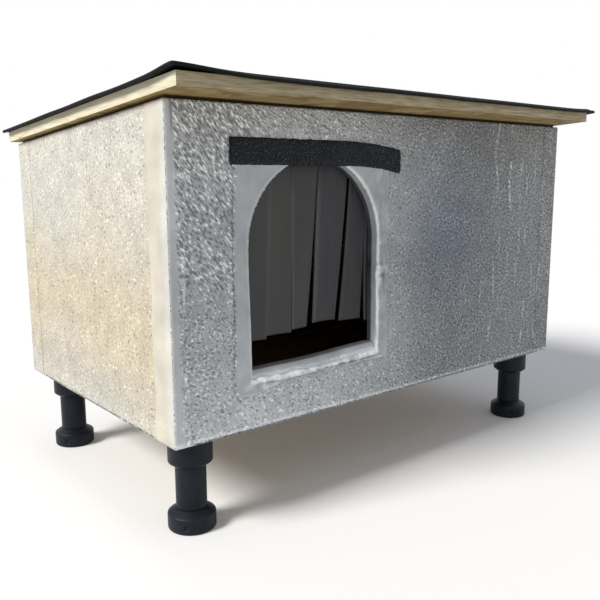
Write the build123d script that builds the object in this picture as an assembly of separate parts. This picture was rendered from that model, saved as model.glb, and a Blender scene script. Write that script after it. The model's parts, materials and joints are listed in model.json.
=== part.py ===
"""Insulated outdoor cat house on four adjustable legs, in millimetres.

X runs along the front, Y to the back, Z up. The origin is under the middle of the
whole object, at the level that the feet stand on. Walls, claddings and tapes are
measured from the outer face of the front cladding and from the underside of the floor.
"""
from build123d import *
import math
import os

os.makedirs("parts", exist_ok=True)

# House, over its foil-faced cladding
house_width = 616
house_depth = 378
front_height = 317
rear_height = 293
board_t = 12
cladding_t = 3
tape_t = 0.4

# Doorway: a half circle over straight jambs
door_width = 176
door_from_left = 174.5
door_below_top = 47
board_sill = 58
cladding_sill = 50

# Foil tape round the doorway and along the edges of the house
door_tape_side = 18
door_tape_over = 8
door_tape_lip = 3
edge_tape_width = 12
corner_tape_front = {"left": 16, "right": 30}
corner_tape_side = {"left": 34, "right": 20}

# Strip of roofing felt over the doorway, drooping at its right end
drip_from_left = 66.5
drip_width = 229
drip_height = 26
drip_t = 3
drip_below_top = 30
drip_straight = 140
drip_droop = 7.5

# Curtain, cut by hand into strips: cuts as distances from the middle of the doorway
curtain_t = 2.5
curtain_gap = 0.4
curtain_below_top = 10
slit_gap = 0.5
cuts_at_top = (-49.5, -23.5, 15.5, 58.5, 87.5)
cuts_at_bottom = (-57.5, -23.5, -0.5, 37.5, 75.5)
over_jambs_at_top = (14.5, 26.5)
over_jambs_at_bottom = (14.5, 22.5)
strips_above_sill = (28, 30, 33, 36, 33, 30)
swings_both_ways = (False, True, True, True, False, False)
cuts_over_crown = 6
swing_clearance = 4
pivot_gap = 0.3
lath_height = 22
lath_t = 12
lath_overhang = 4

# Battens that the wall boards are screwed to
batten_size = 20
batten_drop = 12

# Roof lid, which falls to the rear with the wall tops
seal_t = 3.5
seal_width = 9
roof_t = 12
roof_side_overhang = 8
roof_front_overhang = 38
roof_rear_overhang = 8
membrane_t = 3
membrane_overhang = 6
membrane_corner = 8

# Butt hinges at the rear
hinge_length = 50
hinge_leaf_t = 1.6
hinge_leaf_reach = 30
hinge_screw_in = 22.5
hinge_screw_apart = 25
hinge_from_centre = 200
knuckle_r = 3.2
knuckle_clearance = 0.3
knuckle_end_gap = 0.3
pin_r = 1.6
pin_clearance = 0.05
pin_head_r = 2.4
pin_head_t = 1

# Adjustable plastic legs
leg_height = 100
leg_inset = 36
socket_r = 22.7
socket_length = 29
socket_cone = 4.5
socket_rim = 1
socket_web = 4
column_r = 15.75
column_wall = 3
column_floor_t = 12
column_top_gap = 0.5
socket_fit = 0.1
foot_r = 24.6
foot_height = 16.5
foot_cone = 5.5
foot_edge = 2
foot_shoulder = 0.2
foot_gap = 0.3
stem_r = 5
stem_length = 30
stem_bore_depth = 36
stem_clearance = 0.05
foot_notch_width = 3
foot_notch_height = 6
foot_notch_depth = 1.6
foot_notch_base = 5
foot_notch_count = 4

# Countersunk screws, drawn with flats: shank radius, head radius, head height and length
screw_flat_count = 8
screw_fit = 0.05
panel_screw = (2.0, 4.0, 2.4, 28)
lath_screw = (1.75, 3.5, 2.0, 22)
hinge_screw = (1.5, 2.8, 1.3, 12)
socket_screw = (1.75, 3.4, 2.0, 12)
panel_screw_levels = (0.2, 0.8)
panel_screw_stagger = 5
socket_screw_count = 3
socket_screw_circle = 10

# How far a cut runs past the face that it opens
past = 1

# Levels and places that follow from the sizes above
slope = math.atan((front_height - rear_height) / house_depth)
roof_length = (house_depth + roof_rear_overhang) / math.cos(slope) + roof_front_overhang
membrane_low = seal_t + roof_t
membrane_high = membrane_low + membrane_t
reach_front = (roof_front_overhang + membrane_overhang) * math.cos(slope) - membrane_low * math.sin(slope)
reach_rear = ((roof_length - roof_front_overhang + membrane_overhang) * math.cos(slope)
              + membrane_high * math.sin(slope))
front_y = (reach_front - reach_rear) / 2
rear_y = front_y + house_depth
base_z = leg_height
sill_z = base_z + board_sill
outer_sill_z = base_z + cladding_sill
top_z = base_z + front_height
crown_z = top_z - door_below_top
spring_z = crown_z - door_width / 2
wall_t = board_t + cladding_t
left_x = -house_width / 2
right_x = house_width / 2
door_x = left_x + door_from_left
floor_z = base_z + board_t
above_z = top_z + 2 * board_t

wall_top = Plane(origin=(0, front_y, top_z), x_dir=(1, 0, 0),
                 z_dir=(0, math.sin(slope), math.cos(slope)))


def span(x0, x1, y0, y1, z0, z1):
    """Box between two corners."""
    return Pos((x0 + x1) / 2, (y0 + y1) / 2, (z0 + z1) / 2) * Box(x1 - x0, y1 - y0, z1 - z0)


def on_roof(shape):
    """Lays a shape, drawn level from the front edge of the wall tops, along their fall."""
    return wall_top.location * shape


def under_roof(shape, drop=0):
    """Cuts a shape off along the fall of the wall tops, or a distance below it."""
    reach = 2 * (house_width + house_depth)
    return shape - on_roof(span(-reach, reach, -reach, reach, -drop, reach))


def upright(profile, y0, y1):
    """Extrudes a profile drawn in X and Z from y0 back to y1."""
    return extrude(Plane.XZ.offset(-y0) * profile, amount=y1 - y0, dir=(0, 1, 0))


def arch(width, sill, y0, y1):
    """Doorway-shaped prism: straight jambs from the sill, then a half circle."""
    jambs = Pos(door_x, (sill + spring_z) / 2) * Rectangle(width, spring_z - sill)
    crown = Pos(door_x, spring_z) * Circle(width / 2)
    return upright(jambs + crown, y0, y1)


def screw(size, fit=0):
    """Countersunk screw pointing down from z = 0. With a fit it is the hole for one."""
    shank_r, head_r, head_h, length = size
    rim = RegularPolygon(head_r + fit, screw_flat_count)
    neck = Pos(0, 0, -head_h) * RegularPolygon(shank_r + fit, screw_flat_count)
    return loft([neck, rim], ruled=True) + extrude(neck, head_h - length - fit)


def at_each(places, shape):
    """Copies of a shape, one at each place."""
    return [place * shape for place in places]


# Places of the screws. Each points along the way that the screw is driven.
into_plus_x = Rot(0, -90, 0)
into_minus_x = Rot(0, 90, 0)
into_plus_y = Rot(90, 0, 0)
into_minus_y = Rot(-90, 0, 0)
upwards = Rot(180, 0, 0)


def panel_screw_places():
    """Wall boards to battens: two per board and corner, and one up through the floor."""
    places = []
    from_corner = wall_t + batten_size / 2
    for sx, into_x in ((-1, into_plus_x), (1, into_minus_x)):
        x_face = sx * (house_width / 2 - cladding_t)
        x_batten = sx * (house_width / 2 - from_corner)
        for y_face, y_batten, into_y, height in (
                (front_y + cladding_t, front_y + from_corner, into_plus_y, front_height),
                (rear_y - cladding_t, rear_y - from_corner, into_minus_y, rear_height)):
            for level in panel_screw_levels:
                z = floor_z + level * (height - board_t - batten_drop)
                places.append(Pos(x_batten, y_face, z + panel_screw_stagger) * into_y)
                places.append(Pos(x_face, y_batten, z - panel_screw_stagger) * into_x)
            places.append(Pos(x_batten, y_batten, base_z) * upwards)
    return places


# Edges of the curtain and the cuts between them, at their upper and lower ends
slits_at_top = (-door_width / 2 - over_jambs_at_top[0], *cuts_at_top, door_width / 2 + over_jambs_at_top[1])
slits_at_bottom = (-door_width / 2 - over_jambs_at_bottom[0], *cuts_at_bottom,
                   door_width / 2 + over_jambs_at_bottom[1])

lath_left = door_x + slits_at_top[0] + lath_overhang
lath_right = door_x + slits_at_top[-1] - lath_overhang
lath_y = front_y + wall_t + curtain_gap + curtain_t
header_top_z = top_z - curtain_below_top
lath_z = header_top_z - lath_height / 2


def lath_screw_places():
    """Three screws through the lath and the curtain into the front board."""
    middle = (lath_left + lath_right) / 2
    end = (lath_right - lath_left) / 2 - lath_height
    return [Pos(middle + side * end, lath_y + lath_t, lath_z) * into_minus_y for side in (-1, 0, 1)]


def leg_places():
    """Centre of each leg, by name."""
    x = house_width / 2 - leg_inset
    return {"front_left": Pos(-x, front_y + leg_inset, 0), "front_right": Pos(x, front_y + leg_inset, 0),
            "rear_left": Pos(-x, rear_y - leg_inset, 0), "rear_right": Pos(x, rear_y - leg_inset, 0)}


def socket_screw_places():
    """Screws from inside each leg socket up into the floor board."""
    z = leg_height - socket_web
    ring = [Rot(0, 0, 360 / socket_screw_count * i) * Pos(socket_screw_circle, 0, z) * upwards
            for i in range(socket_screw_count)]
    return [leg * place for leg in leg_places().values() for place in ring]


# Hinge axis: level with the wall tops and just behind the rear cladding
hinge_pivot_y = rear_y + knuckle_r + 2 * knuckle_clearance
hinge_pivot_along = (hinge_pivot_y - front_y) / math.cos(slope)
hinge_pivot_z = top_z - hinge_pivot_along * math.sin(slope)
knuckle_length = hinge_length / 3
hinge_sides = {"left": -hinge_from_centre, "right": hinge_from_centre}


def hinge_wall_screw_places():
    """Two screws through each wall leaf."""
    z = hinge_pivot_z - hinge_screw_in
    return [Pos(x + side * hinge_screw_apart / 2, rear_y + hinge_leaf_t, z) * into_minus_y
            for x in hinge_sides.values() for side in (-1, 1)]


def hinge_lid_screw_places():
    """Two screws up through each lid leaf into the roof board."""
    along = hinge_pivot_along - hinge_screw_in
    low = seal_t - hinge_leaf_t
    return [wall_top.location * Pos(x + side * hinge_screw_apart / 2, along, low) * upwards
            for x in hinge_sides.values() for side in (-1, 1)]


def drilled(shape, size, places):
    """Cuts the holes of those screws that reach into a shape."""
    hole = screw(size, screw_fit)
    box = shape.bounding_box()
    for place in places:
        cut = place * hole
        other = cut.bounding_box()
        apart = (other.min.X > box.max.X or other.max.X < box.min.X or other.min.Y > box.max.Y
                 or other.max.Y < box.min.Y or other.min.Z > box.max.Z or other.max.Z < box.min.Z)
        if not apart:
            shape = shape - cut
    return shape


pieces = {}


def add_boards():
    """Floor and four walls, sawn from oriented strand board."""
    x0, x1 = left_x + cladding_t, right_x - cladding_t
    y0, y1 = front_y + cladding_t, rear_y - cladding_t
    pieces["floor_panel"] = span(x0, x1, y0, y1, base_z, floor_z)
    front = under_roof(span(x0, x1, y0, y0 + board_t, floor_z, above_z))
    pieces["front_panel"] = front - arch(door_width, sill_z, y0 - past, y0 + board_t + past)
    pieces["rear_panel"] = under_roof(span(x0, x1, y1 - board_t, y1, floor_z, above_z))
    for name, x in (("left_panel", x0), ("right_panel", x1 - board_t)):
        pieces[name] = under_roof(span(x, x + board_t, y0 + board_t, y1 - board_t, floor_z, above_z))


def add_battens():
    """Upright battens in the four inner corners."""
    for side, sx in (("left", -1), ("right", 1)):
        for end, y0 in (("front", front_y + wall_t), ("rear", rear_y - wall_t - batten_size)):
            x_outer = sx * (house_width / 2 - wall_t)
            x_inner = x_outer - sx * batten_size
            bar = span(min(x_outer, x_inner), max(x_outer, x_inner), y0, y0 + batten_size,
                       floor_z, above_z)
            pieces[f"corner_batten_{end}_{side}"] = under_roof(bar, batten_drop)


def add_cladding():
    """Foil-faced insulation on all four walls."""
    y0, y1 = front_y + cladding_t, rear_y - cladding_t
    front = under_roof(span(left_x, right_x, front_y, y0, base_z, above_z))
    pieces["front_cladding"] = front - arch(door_width, outer_sill_z, front_y - past, y0 + past)
    pieces["rear_cladding"] = under_roof(span(left_x, right_x, y1, rear_y, base_z, above_z))
    for name, x in (("left_cladding", left_x), ("right_cladding", right_x - cladding_t)):
        pieces[name] = under_roof(span(x, x + cladding_t, y0, y1, base_z, above_z))


def add_edge_tapes():
    """Aluminium tape folded round the four upright corners and under the lower edge."""
    for side, sx in (("left", -1), ("right", 1)):
        for end, sy, face_y in (("front", -1, front_y), ("rear", 1, rear_y)):
            x_face = sx * house_width / 2
            x_out = x_face + sx * tape_t
            y_out = face_y + sy * tape_t
            x_in = x_face - sx * corner_tape_front[side]
            y_in = face_y - sy * corner_tape_side[side]
            on_face = span(min(x_out, x_in), max(x_out, x_in), min(face_y, y_out), max(face_y, y_out),
                           base_z, above_z)
            on_side = span(min(x_face, x_out), max(x_face, x_out), min(y_in, y_out), max(y_in, y_out),
                           base_z, above_z)
            pieces[f"corner_tape_{end}_{side}"] = under_roof(on_face + on_side)
    ring = span(left_x, right_x, front_y, rear_y, base_z - tape_t, base_z)
    inside = span(left_x + edge_tape_width, right_x - edge_tape_width, front_y + edge_tape_width,
                  rear_y - edge_tape_width, base_z - past, base_z + past)
    pieces["base_edge_tape"] = ring - inside


def add_door_tape():
    """Tape round the doorway, folded in over the jambs, the crown and the stepped sill."""
    inner_width = door_width - 2 * tape_t
    half = door_width / 2
    y_face = front_y - tape_t
    y_board = front_y + cladding_t
    y_inner = front_y + wall_t
    z_lip = outer_sill_z - door_tape_lip
    patch = span(door_x - half - door_tape_side, door_x + half + door_tape_side, y_face, front_y,
                 z_lip, crown_z + door_tape_over)
    in_cladding = arch(door_width, outer_sill_z, y_face, y_board)
    in_board = arch(door_width, sill_z, y_board, y_inner)
    opening = arch(inner_width, outer_sill_z, y_face - past, y_inner + past)
    fold = Polyline((y_face, z_lip), (front_y, z_lip), (front_y, outer_sill_z), (y_board, sill_z),
                    (y_inner, sill_z), (y_inner, sill_z + tape_t), (y_board - tape_t, sill_z + tape_t),
                    (y_face, outer_sill_z + tape_t), (y_face, z_lip))
    sill = extrude(Plane.YZ.offset(door_x - half) * make_face(fold), amount=door_width)
    pieces["door_tape"] = (patch - arch(door_width, outer_sill_z, y_face - past, front_y + past)
                           + (in_cladding + in_board - opening) + sill)


def add_drip_strip():
    """Felt strip over the doorway: straight, then curving down like a parabola to its right end."""
    x0 = left_x + drip_from_left
    x1 = x0 + drip_straight
    x2 = x0 + drip_width
    x_mid = (x1 + x2) / 2
    z = top_z - drip_below_top
    low = z - drip_height
    droop_mid = drip_droop / 2**2
    edge = [Line((x0, z), (x1, z)), ThreePointArc((x1, z), (x_mid, z - droop_mid), (x2, z - drip_droop)),
            Line((x2, z - drip_droop), (x2, low - drip_droop)),
            ThreePointArc((x2, low - drip_droop), (x_mid, low - droop_mid), (x1, low)),
            Line((x1, low), (x0, low)), Line((x0, low), (x0, z))]
    y1 = front_y - tape_t
    pieces["drip_strip"] = upright(make_face(Curve() + edge), y1 - drip_t, y1)


curtain_y0 = front_y + wall_t + curtain_gap
curtain_y1 = curtain_y0 + curtain_t
curtain_mid_y = (curtain_y0 + curtain_y1) / 2
slit_top_z = crown_z + cuts_over_crown
slit_bottom_z = sill_z + min(strips_above_sill)


def inner_pivot_z():
    """Level at which the strips that swing both ways still fit between the sides of the arch."""
    count = len(swings_both_ways)
    edges = [abs(slits_at_top[i + side]) for i in range(count) if swings_both_ways[i] for side in (0, 1)]
    reach = max(edges) + swing_clearance
    return spring_z + math.sqrt((door_width / 2)**2 - reach**2)


def slit_x(index, z):
    """Place of a slit at a level: a straight cut from its upper to its lower end."""
    share = (z - slit_bottom_z) / (slit_top_z - slit_bottom_z)
    return door_x + slits_at_bottom[index] + share * (slits_at_top[index] - slits_at_bottom[index])


def between_slits(number, z0, z1, gap):
    """The part of a strip between two levels, narrowed by a gap at each slit."""
    outline = Polyline((slit_x(number - 1, z0) + gap, z0), (slit_x(number, z0) - gap, z0),
                       (slit_x(number, z1) - gap, z1), (slit_x(number - 1, z1) + gap, z1),
                       (slit_x(number - 1, z0) + gap, z0))
    return upright(make_face(outline), curtain_y0, curtain_y1)


def add_curtain():
    """Uncut header, the strips that hang from it, and the lath that clamps it."""
    half_t = curtain_t / 2
    gap = slit_gap / 2
    header = span(door_x + slits_at_top[0], door_x + slits_at_top[-1], curtain_y0, curtain_y1,
                  slit_top_z + half_t + pivot_gap, header_top_z)
    for number, (above_sill, both_ways) in enumerate(zip(strips_above_sill, swings_both_ways), start=1):
        pivot = inner_pivot_z() if both_ways else slit_top_z
        strip = between_slits(number, sill_z + above_sill, pivot, gap)
        x0, x1 = slit_x(number - 1, pivot) + gap, slit_x(number, pivot) - gap
        rolled_top = Pos((x0 + x1) / 2, curtain_mid_y, pivot) * Rot(0, 90, 0) * Cylinder(half_t, x1 - x0)
        pieces[f"curtain_strip_{number}"] = strip + rolled_top
        if both_ways:
            header = header + between_slits(number, pivot + half_t + pivot_gap, header_top_z, gap)
    pieces["curtain_header"] = header
    pieces["curtain_lath"] = span(lath_left, lath_right, lath_y, lath_y + lath_t,
                                  lath_z - lath_height / 2, lath_z + lath_height / 2)


def lid_leaf_blank(x):
    """Plate of a lid leaf, lying under the roof board."""
    half = hinge_length / 2
    return on_roof(span(x - half, x + half, hinge_pivot_along - hinge_leaf_reach, hinge_pivot_along,
                        seal_t - hinge_leaf_t, seal_t))


def add_seal():
    """Foam strip that the lid rests on, set back from the foil and left out at the hinges."""
    back = cladding_t + (board_t - seal_width) / 2
    length = house_depth / math.cos(slope)
    outer = span(left_x + back, right_x - back, back, length - back, 0, seal_t)
    inset = back + seal_width
    inner = span(left_x + inset, right_x - inset, inset, length - inset, -past, seal_t + past)
    seal = on_roof(outer - inner)
    for x in hinge_sides.values():
        half = hinge_length / 2 + knuckle_end_gap
        seal = seal - on_roof(span(x - half, x + half, length - inset - past, length, -past, seal_t + past))
    pieces["lid_seal"] = seal


def add_roof():
    """Roof board with the membrane that covers it and stands out all round."""
    half = house_width / 2 + roof_side_overhang
    front, rear = -roof_front_overhang, roof_length - roof_front_overhang
    pieces["roof_board"] = on_roof(span(-half, half, front, rear, seal_t, membrane_low))
    wide = 2 * (half + membrane_overhang)
    long = roof_length + 2 * membrane_overhang
    outline = Pos(0, (front + rear) / 2) * RectangleRounded(wide, long, membrane_corner)
    pieces["roof_membrane"] = on_roof(Pos(0, 0, membrane_low) * extrude(outline, membrane_t))


def knuckle(x, index):
    """One third of a hinge barrel, round the hinge axis."""
    x0 = x + (index - 1.5) * knuckle_length + knuckle_end_gap / 2
    middle = x0 + (knuckle_length - knuckle_end_gap) / 2
    return (Pos(middle, hinge_pivot_y, hinge_pivot_z) * Rot(0, 90, 0)
            * Cylinder(knuckle_r, knuckle_length - knuckle_end_gap))


def knuckle_room(x, index):
    """Space that a leaf leaves for the other leaf's knuckle."""
    x0 = x + (index - 1.5) * knuckle_length
    reach = knuckle_r + knuckle_clearance
    return (Pos(x0 + knuckle_length / 2, hinge_pivot_y, hinge_pivot_z) * Rot(0, 90, 0)
            * Cylinder(reach, knuckle_length))


def add_hinges():
    """Two butt hinges: a leaf on the rear wall, a leaf under the roof board and a pin."""
    for side, x in hinge_sides.items():
        half = hinge_length / 2
        bore = (Pos(x, hinge_pivot_y, hinge_pivot_z) * Rot(0, 90, 0)
                * Cylinder(pin_r + pin_clearance, 2 * hinge_length))
        wall_plate = span(x - half, x + half, rear_y, rear_y + hinge_leaf_t,
                          hinge_pivot_z - hinge_leaf_reach, hinge_pivot_z)
        web = span(x - half, x + half, rear_y, hinge_pivot_y, hinge_pivot_z - hinge_leaf_t, hinge_pivot_z)
        wall_leaf = wall_plate + web - knuckle_room(x, 1) + knuckle(x, 0) + knuckle(x, 2)
        lid_leaf = lid_leaf_blank(x) - knuckle_room(x, 0) - knuckle_room(x, 2) + knuckle(x, 1)
        pieces[f"hinge_wall_leaf_{side}"] = wall_leaf - bore
        pieces[f"hinge_lid_leaf_{side}"] = lid_leaf - bore
        shaft = Pos(x, hinge_pivot_y, hinge_pivot_z) * Rot(0, 90, 0) * Cylinder(pin_r, hinge_length)
        for end in (-1, 1):
            head = (Pos(x + end * (half + pin_head_t / 2), hinge_pivot_y, hinge_pivot_z) * Rot(0, 90, 0)
                    * Cylinder(pin_head_r, pin_head_t))
            shaft = shaft + head
        pieces[f"hinge_pin_{side}"] = shaft


def turned(points):
    """Solid of revolution about Z from an outline in radius and height."""
    return revolve(Plane.XZ * make_face(Polyline(*points, points[0])), Axis.Z)


def leg_socket():
    """Cup that is screwed under the floor: a plain band, a cone, and a bore for the column."""
    bore = column_r + socket_fit
    low = leg_height - socket_length
    rim = bore + socket_rim
    return turned([(0, leg_height), (socket_r, leg_height), (socket_r, low), (rim, low - socket_cone),
                   (bore, low - socket_cone), (bore, leg_height - socket_web),
                   (0, leg_height - socket_web)])


def leg_column():
    """Tube, hollow above and solid below, where it is tapped for the foot's stem."""
    low = foot_height + foot_cone + foot_gap
    high = leg_height - socket_web - column_top_gap
    tap = stem_r + stem_clearance
    hollow = column_r - column_wall
    floor = low + stem_bore_depth
    return turned([(tap, low), (column_r, low), (column_r, high), (hollow, high),
                   (hollow, floor + column_floor_t), (0, floor + column_floor_t), (0, floor),
                   (tap, floor)])


def leg_foot():
    """Foot with a chamfered base, a conical shoulder, spanner notches and a stem."""
    top = foot_height + foot_cone
    foot = turned([(0, 0), (foot_r - foot_edge, 0), (foot_r, foot_edge), (foot_r, foot_height),
                   (column_r + foot_shoulder, top), (stem_r, top), (stem_r, top + stem_length),
                   (0, top + stem_length)])
    notch_z = foot_notch_base + foot_notch_height / 2
    notch = Pos(foot_r, 0, notch_z) * Box(2 * foot_notch_depth, foot_notch_width, foot_notch_height)
    for turn in range(foot_notch_count):
        foot = foot - Rot(0, 0, 360 / foot_notch_count * (turn + 1 / 2)) * notch
    return foot


def add_legs():
    """Socket, column and foot at each corner."""
    socket, column, foot = leg_socket(), leg_column(), leg_foot()
    for name, place in leg_places().items():
        pieces[f"leg_socket_{name}"] = place * socket
        pieces[f"leg_column_{name}"] = place * column
        pieces[f"leg_foot_{name}"] = place * foot


def add_screws():
    """Drills every board, leaf and socket, and puts the screws in as groups."""
    groups = {"panel_screws": (panel_screw, panel_screw_places()),
              "lath_screws": (lath_screw, lath_screw_places()),
              "hinge_wall_screws": (hinge_screw, hinge_wall_screw_places()),
              "hinge_lid_screws": (hinge_screw, hinge_lid_screw_places()),
              "socket_screws": (socket_screw, socket_screw_places())}
    drilled_by = {
        "panel_screws": ["floor_panel", "front_panel", "rear_panel", "left_panel", "right_panel"]
        + [name for name in pieces if name.startswith("corner_batten")],
        "lath_screws": ["curtain_lath", "curtain_header", "front_panel"],
        "hinge_wall_screws": ["hinge_wall_leaf_left", "hinge_wall_leaf_right", "rear_cladding",
                              "rear_panel"],
        "hinge_lid_screws": ["hinge_lid_leaf_left", "hinge_lid_leaf_right", "roof_board"],
        "socket_screws": ["floor_panel"] + [name for name in pieces if name.startswith("leg_socket")]}
    for group, (size, places) in groups.items():
        for name in drilled_by[group]:
            pieces[name] = drilled(pieces[name], size, places)
        pieces[group] = Compound(children=at_each(places, screw(size)))


add_boards()
add_battens()
add_cladding()
add_edge_tapes()
add_door_tape()
add_drip_strip()
add_curtain()
add_seal()
add_roof()
add_hinges()
add_legs()
add_screws()

for name, shape in pieces.items():
    export_step(shape, f"parts/{name}.step")
print(len(pieces), "nodes; hinge axis at", round(hinge_pivot_y, 3), round(hinge_pivot_z, 3))
print("front face at", round(front_y, 3), "curtain axes at", round(curtain_mid_y, 3),
      round(inner_pivot_z(), 3), round(slit_top_z, 3))
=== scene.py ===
"""Looks of the insulated outdoor cat house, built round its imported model.

Lengths are in metres and written as millimetres times MM. X runs along the front, Y to the
back and Z up, with the origin on the floor under the middle of the roof.
"""
import json
import math
from contextlib import contextmanager

import bmesh
import bpy
import numpy as np
from mathutils import Matrix, Vector


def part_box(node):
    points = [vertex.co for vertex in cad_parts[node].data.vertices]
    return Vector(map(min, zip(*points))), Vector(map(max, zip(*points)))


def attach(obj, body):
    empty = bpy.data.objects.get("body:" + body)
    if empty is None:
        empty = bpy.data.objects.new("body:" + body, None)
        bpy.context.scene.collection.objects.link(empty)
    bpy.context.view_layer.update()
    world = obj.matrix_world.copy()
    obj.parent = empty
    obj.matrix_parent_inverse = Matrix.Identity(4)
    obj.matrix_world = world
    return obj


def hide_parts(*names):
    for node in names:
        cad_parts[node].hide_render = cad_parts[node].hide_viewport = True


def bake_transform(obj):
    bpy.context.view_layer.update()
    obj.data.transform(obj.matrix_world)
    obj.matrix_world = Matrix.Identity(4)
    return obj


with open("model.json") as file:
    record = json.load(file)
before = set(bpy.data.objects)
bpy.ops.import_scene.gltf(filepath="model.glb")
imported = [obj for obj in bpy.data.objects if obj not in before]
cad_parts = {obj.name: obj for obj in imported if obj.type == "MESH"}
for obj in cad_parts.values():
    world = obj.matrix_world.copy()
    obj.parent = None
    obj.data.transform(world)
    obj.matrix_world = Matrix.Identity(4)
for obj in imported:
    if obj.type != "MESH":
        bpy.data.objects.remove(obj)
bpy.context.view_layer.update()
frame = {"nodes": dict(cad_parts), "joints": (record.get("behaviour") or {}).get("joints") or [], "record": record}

MM = 0.001
UP = np.array([0.0, 0.0, 1.0])

# Faces of the house, read from the claddings
front_low, front_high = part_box("front_cladding")
rear_low, rear_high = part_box("rear_cladding")
left_x, right_x = front_low.x, front_high.x
front_y, rear_y = front_low.y, rear_high.y
base_z, top_z = front_low.z, front_high.z
cladding_t = front_high.y - front_low.y
fall = (top_z - rear_high.z) / (rear_low.y - front_y)
slope = math.atan(fall)

# Doorway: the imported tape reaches 3 mm below the opening and 8 mm above its crown, and the
# board's sill lies 8 mm above the foil's
joint_place = {joint["name"]: joint.get("pos_m") for joint in frame["joints"]}
door_x = joint_place["strip_1_swing"][0]
door_half = 88 * MM
tape_below, tape_above, sill_step = 3 * MM, 8 * MM, 8 * MM
tape_low, tape_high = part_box("door_tape")
tape_side = (tape_high.x - tape_low.x) / 2 - door_half
outer_sill = tape_low.z + tape_below
board_sill = outer_sill + sill_step
spring_z = tape_high.z - tape_above - door_half
wall_inner_y = tape_high.y


def wall_top(y):
    """Level of the wall tops at a distance from the front: they fall in a straight line to the rear."""
    return top_z - fall * (y - front_y)


# Noise and relief, as whole arrays


def noise(u, v, seed):
    """Smooth noise from -1 to 1: random values on a unit lattice, blended by smoothstep."""
    period = 256
    values = np.random.default_rng(seed).uniform(-1, 1, (period, period))
    whole_u, whole_v = np.floor(u).astype(int), np.floor(v).astype(int)
    part_u, part_v = u - whole_u, v - whole_v
    blend_u = part_u**2 * (3 - 2 * part_u)
    blend_v = part_v**2 * (3 - 2 * part_v)
    low_u, high_u = whole_u % period, (whole_u + 1) % period
    low_v, high_v = whole_v % period, (whole_v + 1) % period
    low = values[low_u, low_v] * (1 - blend_u) + values[high_u, low_v] * blend_u
    high = values[low_u, high_v] * (1 - blend_u) + values[high_u, high_v] * blend_u
    return low * (1 - blend_v) + high * blend_v


def crumple(u, v, size, seed):
    """Creased foil: sharp ridges where two layers of noise cross zero, the finer one at half size."""
    broad = 1 - 2 * np.abs(noise(u / size, v / size, seed))
    fine = 1 - 2 * np.abs(noise(2 * u / size + 9, 2 * v / size - 4, seed + 1))
    return 0.65 * broad + 0.35 * fine


def embossing(u, v, seed):
    """Soft unevenness of the sheet under its pits: noise at 7 mm with half as much at 3.5 mm."""
    broad, fine = 7 * MM, 3.5 * MM
    return (noise(u / broad, v / broad, seed) + 0.5 * noise(u / fine, v / fine, seed + 1)) / 1.5


def bump_of(x, centre, width):
    """Bell curve of height 1 about a centre."""
    return np.exp(-((x - centre) / width)**2)


def ramp(x, start, end):
    """Smoothstep from 0 at start to 1 at end."""
    t = np.clip((x - start) / (end - start), 0, 1)
    return t * t * (3 - 2 * t)


# Meshes


def grid_faces(rows, columns, closed=False):
    """Quads of a grid of points numbered row by row; a closed grid joins its last column to its first."""
    index = np.arange(rows * columns).reshape(rows, columns)
    if closed:
        index = np.hstack([index, index[:, :1]])
    return np.stack([index[:-1, :-1], index[:-1, 1:], index[1:, 1:], index[1:, :-1]], -1).reshape(-1, 4)


def mesh_piece(name, points, faces, material, attributes=None):
    """Smooth-shaded object of a point array and a face array. Attributes have one value per point."""
    mesh = bpy.data.meshes.new(name)
    mesh.from_pydata(points.reshape(-1, 3).tolist(), [], faces.tolist())
    for key, values in (attributes or {}).items():
        attribute = mesh.attributes.new(key, "FLOAT", "POINT")
        attribute.data.foreach_set("value", np.ravel(values).astype(np.float32))
    mesh.shade_smooth()
    mesh.materials.append(material)
    piece = bpy.data.objects.new(name, mesh)
    bpy.context.scene.collection.objects.link(piece)
    return piece


@contextmanager
def edited(piece):
    """Opens a piece's mesh for a repair, then turns its faces outward and shades it smooth."""
    mesh = bmesh.new()
    mesh.from_mesh(piece.data)
    yield mesh
    bmesh.ops.recalc_face_normals(mesh, faces=mesh.faces)
    mesh.to_mesh(piece.data)
    mesh.free()
    piece.data.shade_smooth()


def weld(piece, distance=1e-6):
    """Merges coincident points, so that seams and poles are closed."""
    with edited(piece) as mesh:
        bmesh.ops.remove_doubles(mesh, verts=mesh.verts, dist=distance)


def thicken(piece, thickness):
    """Gives a skin its thickness, inwards from the surface as drawn."""
    solid = piece.modifiers.new("thickness", "SOLIDIFY")
    solid.thickness = thickness
    solid.offset = -1
    bpy.context.view_layer.update()
    graph = bpy.context.evaluated_depsgraph_get()
    finished = bpy.data.meshes.new_from_object(piece.evaluated_get(graph))
    piece.modifiers.clear()
    piece.data = finished


def fit(piece, slot, body, *nodes):
    """Puts a piece on its body and hides the nodes that it stands for. Its slot is not used."""
    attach(piece, body)
    if nodes:
        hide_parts(*nodes)


# Materials

BLEND = {"data_type": "RGBA"}
MULTIPLY = {"data_type": "RGBA", "blend_type": "MULTIPLY"}


def colour(code):
    """Linear colour of an sRGB hex value such as 8f9499."""
    parts = [int(code[i:i + 2], 16) / 255 for i in (0, 2, 4)]
    return [p / 12.92 if p <= 0.04045 else ((p + 0.055) / 1.055)**2.4 for p in parts] + [1]


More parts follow.
